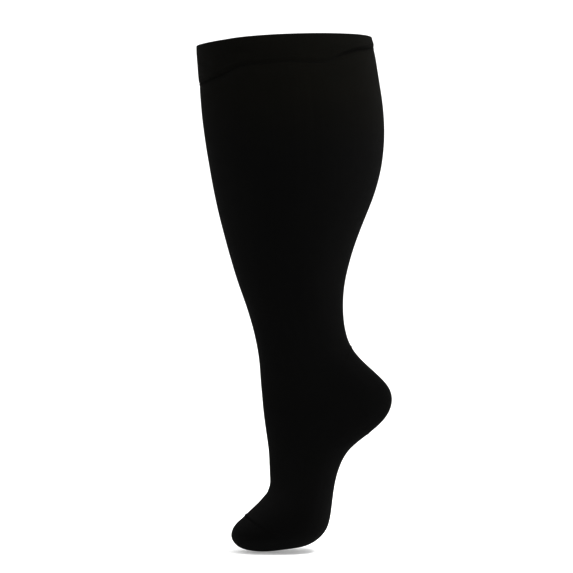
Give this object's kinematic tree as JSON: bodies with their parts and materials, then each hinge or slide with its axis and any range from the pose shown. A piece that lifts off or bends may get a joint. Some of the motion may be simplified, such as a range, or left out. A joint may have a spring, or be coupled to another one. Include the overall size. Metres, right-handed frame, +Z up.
{
  "type": "compression stocking",
  "caption": "Knee-high closed-toe compression stocking in black knit, filled out as if worn, with a turned top band and a knitted-in heel and toe.",
  "frame": {"origin": "middle of the top opening, where the wearer's leg holds the stocking up", "axes": "+Z up out of the opening, -Y towards the shin and toes, +Y towards the calf and heel, X across"},
  "size_m": [0.1696, 0.1952, 0.5125],
  "materials": {
    "band_knit": "double elastic knit, black, soft sheen",
    "compression_knit": "fine plain elastic knit, black, matte with a soft sheen at the edges",
    "pocket_knit": "closer plain knit, black, matte"
  },
  "bodies": {
    "root": {"welt": "band_knit", "leg": "compression_knit", "heel": "pocket_knit", "foot": "compression_knit", "toe": "pocket_knit"}
  },
  "joints": []
}
